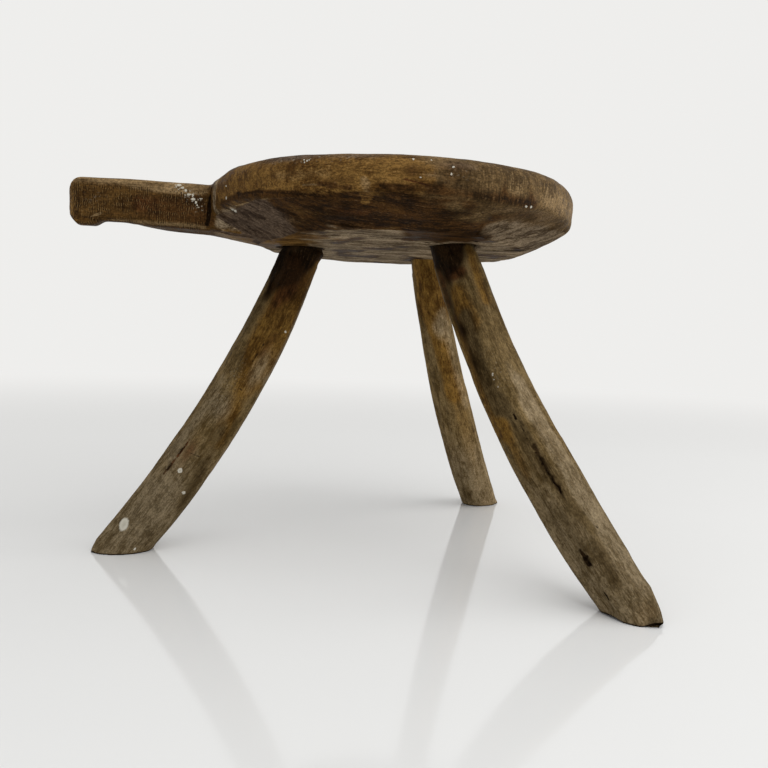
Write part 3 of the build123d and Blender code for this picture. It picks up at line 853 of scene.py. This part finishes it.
@dataclass(frozen=True)
class Seat:
    """The slab: round dished seat and paddle handle in one piece."""

    grid: float = 1.75
    polish: int = 2
    handle_root: float = -104.0
    socket_height: float = 22.0  # how far up a mortise the painted shade and the gap line round a socket can lie
    # between which turns, in degrees round the seat's middle, each facet of the slope begins and ends
    left_begins: Pair = (-129.0, -143.0)
    left_ends: Pair = (150.0, 165.0)
    right_begins: Pair = (-78.0, -66.0)
    right_ends: Pair = (20.0, 0.0)
    far_begins: Pair = (10.0, 30.0)
    far_ends: Pair = (160.0, 140.0)

    def build(self) -> None:
        """Carves and dresses the seat."""
        carving = Carving("carved_seat", "seat", self.grid, self.polish, SEAT_MARKS)
        self.tint(carving)
        carving.incise()
        self.hew(carving)
        carving.press(total(SEAT_DENTS, carving.points))
        carving.piece(self.finish())

    def hew(self, carving: Carving) -> None:
        """Leaves the adze's scallops below and the scraper's ripple above.

        Args:
            carving: the seat.
        """
        points, up = carving.points, carving.normals[:, 2]
        below, above = smooth_step(-0.3, -0.75, up), smooth_step(0.6, 0.95, up)
        clear = 1.0 - self.socket_cover(points, 1.6, 14.0)
        adze = scallops(points, (44.0, 22.0, 30.0), 3.3)
        scraper = scallops(points, (70.0, 22.0, 60.0), 8.1)
        ripple = grain_noise(points, (34.0, 7.0, 7.0), 2.2)
        swell = grain_noise(points, (52.0, 30.0, 24.0), 4.7)
        pits = grain_noise(points, (7.0, 4.0, 4.0), 9.4)
        depths = below * clear * (0.9 - 1.6 * adze) + above * (0.3 - 0.5 * scraper)
        carving.press(depths + (0.20 * ripple + 0.30 * swell + 0.10 * pits + 0.10))

    def socket_cover(self, points: np.ndarray, near: float, far: float) -> np.ndarray:
        """Where the mortises' mouths are in the underside.

        Args:
            points: one row per point.
            near: how far from the tenon the full cover reaches.
            far: how far from it there is none.

        Returns:
            The cover of each point, from 0 to 1.
        """
        low = points[:, 2] < UNDERSIDE + self.socket_height
        cover = np.zeros(len(points))
        for leg in LEGS:
            gap = np.linalg.norm(points[:, :2] - leg.top()[:2], axis=1) - leg.shoulder / 2
            cover = np.maximum(cover, smooth_step(far, near, gap) * low)
        return cover

    def tint(self, carving: Carving) -> None:
        """Lays the tones: warm rim, dark slope, ashy underside, worn edges and painted shade round the
        sockets.

        Args:
            carving: the seat.
        """
        points, up = carving.points, carving.normals[:, 2]
        x, y, z = points.T
        turn = np.degrees(np.arctan2(y - SEAT_CENTRE[1], x - SEAT_CENTRE[0]))
        drifted = turn + 9.0 * grain_noise(points, (40.0, 30.0, 18.0), 12.0)
        off_handle = smooth_step(self.handle_root - 3.0, self.handle_root + 7.0, x)
        flat = smooth_step(-0.93, -0.985, up) * off_handle
        slope = smooth_step(-0.45, -0.75, up) * (1.0 - flat) * off_handle * (z < 276.0)
        top = smooth_step(0.75, 0.95, up)
        upright = smooth_step(0.6, 0.3, np.abs(up)) * off_handle
        left = smooth_step(*self.left_begins, drifted) + smooth_step(*self.left_ends, drifted)
        right = smooth_step(*self.right_begins, drifted) * smooth_step(*self.right_ends, turn)
        far = smooth_step(*self.far_begins, turn) * smooth_step(*self.far_ends, turn)
        centre = np.clip(1.0 - left - right - far, 0.0, 1.0)
        # the warm part of the underside, round the socket under the handle
        ramp = np.exp(-(((x + 64.0) / 46.0) ** 2 + ((y + 12.0) / 46.0) ** 2) ** 1.5)
        wander = grain_noise(points, (46.0, 46.0, 16.0), 21.0)
        broad = grain_noise(points, (30.0, 32.0, 12.0), 31.0, 3)
        smear = grain_noise(points, (20.0, 14.0, 7.0), 17.0, 3)
        brow = smooth_step(276.0, 274.5, z + 4.0 * smooth_step(-56.0, -84.0, x))
        carving.lay(Tone.SLATE, 1.1 * slope * left * brow)
        carving.lay(Tone.ASH, slope * right * smooth_step(275.0, 257.0, z) * (1.25 + 0.9 * smear))
        carving.lay(Tone.SLATE, slope * right * smooth_step(280.0, 272.0, z) * 0.4)
        carving.lay(Tone.ASH, flat * (1.0 - 0.85 * ramp) * (0.98 + 1.5 * broad))
        carving.lay(Tone.SMOKE, flat * (1.0 - ramp) * np.clip(-0.12 - 1.7 * broad, 0.0, 0.62))
        carving.lay(Tone.SMOKE, slope * (centre * (0.66 + 0.7 * smear) + 0.35 * far))
        carving.lay(Tone.ASH, slope * far * (0.45 + 0.4 * wander))
        carving.lay(Tone.OCHRE, upright * smooth_step(10.0, 40.0, y) * (0.7 + 0.7 * wander))
        carving.lay(Tone.TAN, 0.42 * top * off_handle + 0.55 * top * (1.0 - off_handle))
        # painted shade round the mortise mouths, where the legs meet the underside
        carving.lay(Tone.SMOKE, 1.3 * self.socket_cover(points, -3.0, 4.0))
        carving.lay(Tone.GAP, 1.2 * self.socket_cover(points, -2.5, 0.6))
        carving.lay_all(SEAT_TONES, points)

    def finish(self) -> WoodFinish:
        """The seat's wood.

        Returns:
            Its finish.
        """
        return WoodFinish(
            name="seat_wood",
            deep=(0.024, 0.0105, 0.0025),
            pale=(0.084, 0.043, 0.0115),
            along=0,
            layers=(
                WoodLayer(Tone.OLIVE, (0.054, 0.032, 0.012), (0.142, 0.089, 0.038), 0.36),
                WoodLayer(Tone.OCHRE, (0.058, 0.026, 0.006), (0.176, 0.095, 0.026), 0.32, 0.24),
                WoodLayer(Tone.TAN, (0.090, 0.054, 0.022), (0.250, 0.166, 0.080), 0.45),
                WoodLayer(Tone.ASH, (0.062, 0.041, 0.022), (0.310, 0.236, 0.150)),
                WoodLayer(Tone.SLATE, (0.032, 0.020, 0.013), (0.114, 0.080, 0.055), 0.30),
                WoodLayer(Tone.RUST, (0.022, 0.007, 0.002), (0.084, 0.032, 0.010)),
                WoodLayer(Tone.SMOKE, (0.010, 0.0045, 0.0015), (0.056, 0.025, 0.0070), 0.36),
                BLACKENED,
            ),
            specks=SEAT_SPECKS,
            hatch=saw_lines,
        )


# ---- the legs ----
@dataclass(frozen=True)
class Leg:
    """One bent branch, with its tenon.

    Tones and grooves are placed along the branch: outward from its bowed middle line, sideways and
    down it. Marks, dents and specks are placed in the stool's frame.
    """

    name: str
    azimuth: float
    mortise_reach: float
    foot_reach: float
    bow: float
    shoulder: float
    foot: float
    flats: tuple[Pair, ...]  # azimuth round the branch and how deep it is shaved
    grooves: Areas
    tones: Tones
    marks: tuple[Mark, ...]
    dents: Areas = ()
    specks: tuple[Speck, ...] = ()
    # painted shade at the leg's top, under the seat
    top_shade: float = 1.1
    # painted light: brightens all of this leg's colours where it stands in shade
    painted_light: float = 1.0
    grid: float = 1.05
    polish: int = 2

    def outward(self) -> np.ndarray:
        """The way the leg leans, level."""
        turn = math.radians(self.azimuth)
        return np.array([math.cos(turn), math.sin(turn), 0.0])

    def top(self) -> np.ndarray:
        """Where the tenon's axis meets the underside."""
        return np.array([*SEAT_CENTRE, UNDERSIDE]) + self.outward() * self.mortise_reach

    def local(self, points: np.ndarray) -> np.ndarray:
        """Places along the branch.

        Args:
            points: places in the stool's frame.

        Returns:
            One row per point: across in the leg's own upright plane, across it, and down the bow.
        """
        outward = self.outward()
        side = np.array([-outward[1], outward[0], 0.0])
        top = self.top()
        foot = np.array([*SEAT_CENTRE, 0.0]) + outward * self.foot_reach
        chord = foot - top
        length = np.linalg.norm(chord)
        along = chord / length
        across = outward - along * (outward @ along)
        across /= np.linalg.norm(across)
        radius = (length**2 / 4 + self.bow**2) / (2 * self.bow)
        centre = (top + foot) / 2 + across * (radius - self.bow)
        half_turn = math.asin(length / 2 / radius)
        from_centre = points - centre
        u, v = from_centre @ along, from_centre @ across
        turn = np.arctan2(u, -v)
        return np.stack([radius - np.hypot(u, v), from_centre @ side, radius * (turn + half_turn)], axis=1)

    def build(self) -> None:
        """Carves and dresses the leg."""
        carving = Carving(f"branch_{self.name}", f"leg_{self.name}", self.grid, self.polish, self.marks)
        self.tint(carving)
        carving.incise()
        if self.dents:
            carving.press(total(self.dents, carving.points))
        self.shave(carving)
        carving.vectors["branch"] = self.local(carving.points)
        carving.piece(self.finish())

    def shave(self, carving: Carving) -> None:
        """Takes long flats off the branch and leaves it uneven, but not where it is seated or stands.

        Args:
            carving: the branch.
        """
        height = carving.points[:, 2]
        local = self.local(carving.points)
        out, side, down = local.T
        free = smooth_step(2.0, 22.0, down) * smooth_step(0.4, 5.0, height)
        radius = np.interp(down, (0.0, 300.0), (self.shoulder / 2, self.foot / 2))
        depths = np.zeros(len(local))
        for turn, depth in self.flats:
            facing = out * math.cos(math.radians(turn)) + side * math.sin(math.radians(turn))
            drift = 0.5 * grain_noise(local, (30.0, 30.0, 90.0), turn)
            depths += np.clip(facing - (radius - depth - drift), 0.0, depth + 0.6)
        lumps = 0.50 * grain_noise(local, (24.0, 24.0, 60.0), 1.3)
        lumps += 0.20 * grain_noise(local, (5.0, 5.0, 20.0), 6.1)
        lumps += 0.12 * grain_noise(local, (2.6, 2.6, 7.0), 3.7)
        carving.press(free * (depths + lumps + 0.2))
        carving.press(smooth_step(UNDERSIDE - 0.5, UNDERSIDE - 5.0, height) * total(self.grooves, local))

    def tint(self, carving: Carving) -> None:
        """Lays the tones: painted shade at the top, under the seat, ash on the shin and a painted contact
        shadow at the sole.

        Args:
            carving: the branch.
        """
        local = self.local(carving.points)
        down, height = local[:, 2], carving.points[:, 2]
        # painted shade: the top few millimetres of the leg, under the seat, darkened
        carving.lay(Tone.SMOKE, self.top_shade * smooth_step(8.0, 0.0, down) * (height < UNDERSIDE + 6.0))
        carving.lay(Tone.ASH, 0.55 * smooth_step(110.0, 240.0, down))
        # painted contact shadow: the foot darkened where it meets the floor
        carving.lay(Tone.SMOKE, 0.9 * smooth_step(1.8, 0.4, height))
        carving.lay_all(self.tones, local)

    def finish(self) -> WoodFinish:
        """The leg's wood.

        Returns:
            Its finish.
        """
        layers = (
            WoodLayer(Tone.OCHRE, (0.050, 0.022, 0.0035), (0.172, 0.092, 0.020)),
            WoodLayer(Tone.TAN, (0.120, 0.084, 0.042), (0.262, 0.198, 0.116)),
            WoodLayer(Tone.ASH, (0.084, 0.060, 0.031), (0.196, 0.150, 0.090)),
            WoodLayer(Tone.SLATE, (0.034, 0.021, 0.008), (0.098, 0.067, 0.030)),
            WoodLayer(Tone.RUST, (0.014, 0.005, 0.0015), (0.076, 0.029, 0.009)),
            WoodLayer(Tone.SMOKE, (0.0015, 0.0006, 0.0003), (0.018, 0.008, 0.003), 0.5, 0.34),
        )
        lit = [replace(layer, deep=self.lit(layer.deep), pale=self.lit(layer.pale)) for layer in layers]
        return WoodFinish(
            name=f"leg_wood_{self.name}",
            deep=self.lit((0.060, 0.037, 0.012)),
            pale=self.lit((0.164, 0.111, 0.048)),
            along=2,
            source="branch",
            fibre=0.9,
            run=9.0,
            blotch=(4.6, 9.0),
            grain=0.7,
            streak=0.14,
            layers=(*lit, BLACKENED),
            specks=self.specks,
            roughness=(0.5, 0.72),
        )

    def lit(self, colour: Triple) -> Triple:
        """The colour brightened by this leg's painted light, which makes up for the shade it stands in."""
        return tuple(value * self.painted_light for value in colour)


UNDER_HANDLE = Leg(
    "under_handle",
    azimuth=180, mortise_reach=73, foot_reach=215.5, bow=12.7, shoulder=32.6, foot=39.6,
    flats=((35, 0.9), (-60, 1.1), (120, 0.8), (-150, 1)),
    top_shade=0.5,
    grooves=(
        Band(((9, 15, 4), (10, 14, 60)), 9, 2), Band(((-15, 2, -2), (-14, 9, 0)), 6.5, -2.6),
        Band(((14, 13, 100), (14, 13, 290)), 8, 1), Band(((16, 10, 292), (16, 10, 302)), 6, 1.2),
    ),
    tones={
        Tone.OCHRE: (
            Band(((2, 16, 40), (-3, 18, 90)), 13, 0.9), Band(((-3, 18, 90), (-6, 17, 140)), 11, 0.45),
            Band(((-9, 14, 12), (-11, 13, 60)), 7, 0.9), Band(((-16, 5, 4), (-16, 6, 110)), 10, 1.1),
            Band(((-4, 18, 70), (-7, 17, 120)), 11, 0.5), Band(((-6, 18, 148), (-10, 15, 172)), 9, 0.8),
        ),
        Tone.TAN: (
            Band(((-17, 3, 30), (-17, 4, 110)), 5.5, 0.75), Band(((-17, 5, 112), (-18, 5, 190)), 5, 0.5),
            Spot((-9, 16, 106), (9, 8, 26), 0.6),
        ),
        Tone.ASH: (
            Band(((14, 11, 124), (15, 11, 200)), 6, 0.5), Spot((3, 18, 146), (12, 8, 16), 0.55),
            Spot((4, 18, 246), (14, 10, 34), 0.35),
        ),
        Tone.SLATE: (
            Band(((15, 10, 40), (16, 10, 80)), 6, 0.6), Spot((-7, 17, 166), (8, 8, 16), 0.75),
            Spot((-12, 15, 200), (7, 8, 20), 0.75), Spot((-14, 12, 228), (6, 8, 14), 0.6),
        ),
        Tone.RUST: (
            Band(((3, 17, 16), (-2, 17, 36)), 13, 0.8), Spot((4, 17, 54), (8, 8, 12), 0.5),
            Band(((-8, 15, 76), (-5, 17, 94)), 6, 0.5), Band(((-13, 9, 0), (-13, 10, 26)), 6, 0.25),
            Spot((5, 19, 190), (6, 8, 18), 0.55),
        ),
        # painted shade: the first two bands blacken the leg's top under the seat, the third darkens its left
        # edge below
        Tone.SMOKE: (
            Band(((6, 15, 0), (8, 15, 22)), 14, 1.9), Band(((-4, 16, 0), (-2, 16, 6)), 12, 1.1),
            Band(((12, 12, 12), (14.6, 10.4, 48)), 7, 0.6),
        ),
        Tone.CHALK: (Spot((6, 17, 128), (14, 8, 44), 0.34),),
    },
    marks=(
        Mark(((-110.5, -12.4, 102), (-118.8, -12.8, 89.5)), 0.8, 0.3, Tone.RUST, 0.9),
        Mark(((-118.8, -12.8, 89.5), (-124.4, -12.8, 82.4)), 0.7, 0.3, strength=0.55, wander=0.6),
        Mark(
            ((-118.8, -12.8, 89.5), (-127.4, -12.7, 77.5), (-136.1, -12.4, 65.9)),
            1, 0.2, Tone.RUST, 0.55, 0.8,
        ),
        Mark(((-130, -12.7, 74), (-133.6, -12.6, 69.2)), 0.6, 0.3, strength=0.5, wander=0.6),
        Mark(((-58, -14.5, 172), (-62, -14.8, 165), (-68, -15, 156)), 0.9, 0.4, strength=0.7),
        Mark(((-80, -14, 139), (-74, -14.6, 133), (-69, -13, 131)), 0.8, 0.3, strength=0.6),
        Mark(((-114, -15.6, 82.5), (-106, -15, 79)), 0.8, 0.3, strength=0.6),
    ),
    specks=(
        Speck((-122.1, -15.6, 68.5), (2, 2.4, 2.1), 0.35), Speck((-118.9, -11.8, 49.3), (1.9, 2.2, 1.8), 0.3),
        Speck((-166.6, -11.7, 24.9), (5.6, 6, 6.2), 0.22), Speck((-156.2, -13.8, 4.2), (1.3, 1.8, 1.3)),
        Speck((-66.2, -9.7, 191.7), (0.9, 2.6, 1.1)), Speck((-40.7, -7.6, 182.2), (1.1, 1.8, 1.3)),
    ),
)

BARK_RINGS = (
    ((117.4, -120.4, 121), (122.4, -120.8, 120.6)),
    ((121.4, -125.6, 112.8), (127, -125.6, 112.8)),
    ((126.4, -131.2, 102.6), (131.8, -130.8, 103.6)),
    ((129.8, -135.8, 94.8), (135.6, -135.2, 96.2)),
)

FRONT = Leg(
    "front",
    azimuth=-50.9, mortise_reach=66, foot_reach=232.6, bow=13.4, shoulder=34.4, foot=38,
    flats=((70, 1.2), (-18, 1.2), (150, 1), (-104, 1.2)),
    top_shade=0.7,
    grooves=(
        Band(((-9, -18, 200), (-9, -18, 290)), 7.5, 2.3), Band(((-12, -15, 110), (-12, -15, 172)), 8, -0.9),
        Band(((18, 0, 90), (18, 0, 140)), 8, 0.8), Band(((-8, -15, 288), (-6, -17, 298)), 5, 1),
        Band(((19, 2, 175), (18, 2, 262)), 8, -1.1), Band(((17, 4, 292), (14, 5, 306)), 6, -0.8),
        Band(((16, -8, 318), (12.5, -13, 316.5)), 6.5, 4.2), Band(((9, -16.5, 60), (9, -17, 200)), 3, -0.5),
    ),
    tones={
        Tone.OCHRE: (
            Band(((2, -18, 40), (4, -17, 66)), 9, 0.9), Band(((17, -3, 8), (18, -4, 52)), 7, 0.7),
            Band(((-6, -18, 60), (-10, -17, 150)), 8, 0.85), Band(((-4, -19, 148), (-6, -18, 186)), 7, 0.6),
            Spot((14, -12, 304), (14, 14, 9), 0.6),
        ),
        # painted light: all but the last spot make the right facet paler, as light from the right would
        Tone.TAN: (
            Band(((15, -8, 108), (16, -8, 150)), 6, 0.45), Band(((18, -4, 122), (19, -2, 290)), 7, 0.62),
            Band(((18, -7, 140), (19, -5, 250)), 7, 0.75), Spot((16, -9, 276), (9, 9, 20), 0.6),
            Spot((-8, -18, 262), (6, 8, 30), 0.5),
        ),
        Tone.SLATE: (
            Band(((2, -17, 60), (-2, -19, 100), (-3, -19, 134)), 8, 0.95),
            Band(((3, -19.4, 130), (8, -18, 156), (10, -17, 195)), 5, 0.85),
            Band(((10, -17, 195), (12, -16, 216), (15, -13, 240)), 4.6, 0.95),
            Band(((6, -18, 222), (4, -19, 250)), 5, 0.5), Band(((14, -14, 250), (10, -16, 280)), 6, 0.6),
        ),
        Tone.RUST: (
            Band(((1, -18, 24), (9, -15, 26)), 7, 0.85), Band(((-9, -15, 8), (-10, -15, 44)), 5, 0.6),
        ),
        # painted shade: the two bands and the two spots nearest the top blacken the leg's top under the seat,
        # with a ragged lower edge
        Tone.SMOKE: (
            Band(((7, -16, 0), (6, -16, 8)), 11, 1.9), Band(((-8, -14, 0), (-7, -15, 6)), 8, 0.8),
            Spot((4, -17, 16), (7, 8, 9), 0.9), Spot((-1, -18, 30), (4, 8, 9), 0.45),
            Spot((-8, -16, 56), (5, 8, 40), 0.5), Spot((-4, -18, 68), (5, 8, 9), 0.5),
            Spot((-6, -18, 96), (6, 8, 14), 0.45), Spot((1.8, -19.5, 257), (3.4, 5, 5), 0.9),
            Band(((3, -20, 150), (4, -20, 196)), 3, 0.35),
        ),
        Tone.CHALK: (Spot((9, -15, 110), (10, 8, 40), 0.3),),
    },
    marks=(
        Mark(((119.4, -116.1, 128.8), (120.8, -117.6, 125.8)), 1.3, 1.2, strength=0.9),
        Mark(((123.4, -120.6, 121.6), (125.2, -122.4, 117.8)), 0.9, 0.7, strength=0.7),
        Mark(
            ((119, -115.6, 130), (125.2, -122.4, 117.8), (131, -128.6, 108.3)),
            2.6, 0.3, Tone.SLATE, 0.9, 0.9,
        ),
        # the crack's dark, widened into a painted soft shadow along it
        Mark(
            ((131, -128.6, 108.3), (136.4, -135.6, 95.6), (141.6, -142.6, 84.4), (145.2, -146.2, 78.6)),
            2.8, 0.4, Tone.SMOKE, 0.62, 1.2,
        ),
        *(Mark(ring, 0.8, 0.1, Tone.SMOKE, 0.7, 0.5) for ring in BARK_RINGS),
        Mark(((134, -133, 100.5), (136.4, -135.6, 95.6), (137.2, -137.6, 92.4)), 0.8, 0.6, strength=0.6),
        Mark(((137.2, -137.6, 92.4), (140.6, -139.8, 87.6), (141.6, -142.6, 84.4)), 1.1, 1, strength=0.9),
        Mark(((141.6, -142.6, 84.4), (144.6, -144.4, 81.4), (145.2, -146.2, 78.6)), 0.9, 0.8, strength=0.8),
        Mark(((145.2, -146.2, 78.6), (151, -152, 68)), 0.8, 0.2, strength=0.5),
        Mark(((165.5, -173.8, 19.9), (166.6, -174.4, 16.8), (167.2, -176.8, 14.6)), 0.9, 0.8, strength=0.9),
        Mark(((167.2, -176.8, 14.6), (169.4, -177.2, 11.6), (170.1, -178.9, 8.7)), 0.8, 0.8, strength=0.9),
        Mark(((154.2, -161.4, 41), (156.6, -164.4, 37.4), (158, -166.4, 33.8)), 2.1, 0.7, Tone.SMOKE, 1, 1.6),
        Mark(
            ((156.4, -163.4, 37.8), (158.4, -166, 34.6), (160.8, -167.2, 33)),
            1.2, 0.7, strength=0.9, wander=0.9,
        ),
        Mark(((158.4, -166, 34.6), (160.6, -168.4, 30.2)), 0.8, 0.5, strength=0.6, wander=0.7),
        Mark(((165, -158, 61.4), (167.4, -160.6, 57.8)), 0.6, 0.4, strength=0.8),
        Mark(((163.4, -166.4, 37.6), (168, -169.4, 35.6), (171, -171.6, 32.8)), 0.8, 0, Tone.TAN, 0.9),
    ),
    dents=(
        Spot((157.8, -165.6, 35.7), (3.8, 4, 3.8), 0.6), Spot((127, -124.5, 114), (6, 6, 18), 0.4),
    ),
    specks=(
        Speck((107.1, -100.7, 156.4), (0.35, 1.4, 1.4), 0.5),
        Speck((108, -102.6, 152.8), (0.4, 1.4, 0.5), 0.5),
        Speck((110.2, -105.2, 147.6), (0.4, 1.2, 0.6), 0.5),
    ),
)

BACK = Leg(
    "back",
    azimuth=50.6, mortise_reach=70, foot_reach=223, bow=12.4, shoulder=29.4, foot=36.6,
    flats=((-70, 0.6), (30, 0.7), (160, 0.9)),
    top_shade=0.1,
    # painted light: this leg stands in more shade than the others
    painted_light=1.4,
    grooves=(Band(((1, -18.5, 140), (2, -18.5, 282)), 8, -1.5),),
    tones={
        Tone.OCHRE: (
            Band(((-12, -8, 0), (-12, -9, 40)), 17, 1.25), Band(((-14, -4, 40), (-10, -12, 130)), 9, 0.95),
            Spot((-12, -12, 82), (5, 5, 20), 0.5), Band(((-10, -13, 130), (-8, -15, 290)), 14, 0.45),
        ),
        Tone.TAN: (
            Band(((-8, -14, 46), (-4, -16, 150)), 7, 0.5), Spot((-14, -8, 60), (8, 8, 14), 0.5),
        ),
        Tone.SLATE: (
            Spot((-8, -14, 96), (2.6, 5, 14), 0.6), Spot((-18, 1, 262), (8, 8, 14), 0.9),
            Spot((-6, -18, 250), (8, 8, 24), 0.35),
        ),
        Tone.RUST: (Spot((-3, -18.7, 183), (2.6, 6, 9), 0.55),),
    },
    marks=(Mark(((121, 78, 128), (123, 80, 120)), 0.8, 0.4, strength=0.7),),
)

LEGS = (UNDER_HANDLE, FRONT, BACK)


# ---- the wedges ----
@dataclass(frozen=True)
class Wedge:
    """The wedge that spreads one tenon, worn level with the seat."""

    name: str
    grid: float = 0.45
    polish: int = 1

    def build(self) -> None:
        """Carves and dresses the wedge."""
        carving = Carving(f"driven_wedge_{self.name}", f"wedge_{self.name}", self.grid, self.polish)
        points = carving.points
        carving.lay(Tone.TAN, 0.6 * smooth_step(294.0, 298.0, points[:, 2]))
        carving.press(0.05 + 0.06 * grain_noise(points, (6.0, 2.0, 2.0), 2.0))
        carving.piece(self.finish())

    def finish(self) -> WoodFinish:
        """The wedge's wood.

        Returns:
            Its finish.
        """
        return WoodFinish(
            name=f"wedge_wood_{self.name}",
            deep=(0.060, 0.036, 0.016),
            pale=(0.160, 0.105, 0.055),
            along=2,
            fibre=0.5,
            layers=(WoodLayer(Tone.TAN, (0.110, 0.072, 0.036), (0.230, 0.165, 0.095)),),
        )


# ---- the studio ----
@dataclass(frozen=True)
class Lamp:
    """A large soft lamp that points at the seat."""

    name: str
    at: Triple
    size: Pair  # width and height
    watts: float
    aim: Triple = (0.0, 0.0, 200.0)

    def hang(self) -> None:
        """Builds the lamp."""
        light = bpy.data.lights.new(self.name, "AREA")
        light.shape = "RECTANGLE"
        light.size, light.size_y = in_metres(self.size)
        light.energy = self.watts
        made = placed(self.name, light)
        made.location = Vector(self.at) * MM
        made.rotation_mode = "QUATERNION"
        made.rotation_quaternion = (Vector(self.aim) * MM - made.location).to_track_quat("-Z", "Y")


@dataclass(frozen=True)
class Studio:
    """Camera, soft lamps and a plain pale floor that fades into the background."""

    camera_at: Triple = (-65.18, -643.75, 182.19)
    heading: float = 9.598  # degrees clockwise from +Y, seen from above
    pitch: float = 3.61  # degrees down
    roll: float = 2.005
    focal: float = 769.0  # in pixels
    backdrop: Triple = (0.86, 0.855, 0.84)
    ambient: float = 0.55
    floor_radius: float = 6000.0
    floor_colour: Triple = (0.74, 0.74, 0.73)
    floor_roughness: float = 0.09
    floor_gloss: float = 0.36
    fade: Pair = (600.0, 2600.0)  # how far out the floor starts to fade, and where it ends
    lamps: tuple[Lamp, ...] = (
        Lamp("key", (350.0, -1000.0, 1500.0), (1500.0, 1500.0), 15.0),
        Lamp("side", (1500.0, -350.0, 800.0), (1400.0, 1300.0), 12.5),
        Lamp("fill", (-1200.0, -700.0, 1100.0), (1300.0, 1300.0), 3.0),
    )

    def build(self) -> None:
        """Sets up everything that isn't the stool."""
        self.camera()
        self.world()
        self.floor()
        for lamp in self.lamps:
            lamp.hang()
        bpy.context.scene.view_settings.view_transform = "Standard"

    def camera(self) -> None:
        """Places the camera."""
        lens = bpy.data.cameras.new("camera")
        lens.sensor_width = SENSOR_WIDTH
        lens.lens = SENSOR_WIDTH * self.focal / FRAME_WIDTH
        lens.clip_start = 0.01
        made = placed("camera", lens)
        tilt = Matrix.Rotation(math.radians(90.0 - self.pitch), 4, "X")
        level = Matrix.Rotation(math.radians(-self.heading), 4, "Z")
        turned = Matrix.Rotation(math.radians(self.roll), 4, "Z")
        made.matrix_world = Matrix.Translation(Vector(self.camera_at) * MM) @ level @ tilt @ turned
        bpy.context.scene.camera = made

    def world(self) -> None:
        """A plain bright background, and a softer even light from all round."""
        world = bpy.data.worlds.new("studio")
        sheet = Sheet(world)
        shown = sheet.node("Background", {"Color": self.backdrop})
        light = sheet.node("Background", {"Color": (1.0, 1.0, 1.0), "Strength": self.ambient})
        sheet.end(sheet.either(sheet.looked_at(), light, shown), "World")
        bpy.context.scene.world = world

    def floor(self) -> None:
        """A smooth pale disc, whose far part takes the background's colour."""
        form = bmesh.new()
        bmesh.ops.create_circle(form, cap_ends=True, segments=128, radius=self.floor_radius * MM)
        mesh = bpy.data.meshes.new("floor")
        form.to_mesh(mesh)
        form.free()
        made = placed("floor", mesh)
        mesh.materials.append(self.floor_material())

    def floor_material(self) -> bpy.types.Material:
        """Pale, lightly glossy, and lost in the background with distance.

        Returns:
            The floor's material.
        """
        made = bpy.data.materials.new("floor")
        sheet = Sheet(made)
        feeds = {"Base Color": self.floor_colour, "Roughness": self.floor_roughness}
        near = sheet.node("BsdfPrincipled", feeds | {"Specular IOR Level": self.floor_gloss})
        glow = sheet.node("Emission", {"Color": self.backdrop})
        far = sheet.rise(sheet.vector("LENGTH", sheet.coords()), *in_metres(self.fade))
        sheet.end(sheet.either(sheet.math("MULTIPLY", far, sheet.looked_at()), near, glow))
        return made


def main() -> None:
    """Builds the studio and then the stool, piece by piece."""
    logging.basicConfig(level=logging.INFO, format="%(name)s: %(message)s")
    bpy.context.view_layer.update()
    Studio().build()
    LOG.info("studio set")
    Seat().build()
    for leg in LEGS:
        leg.build()
        Wedge(leg.name).build()
    bpy.context.view_layer.update()


if __name__ == "__main__":
    main()
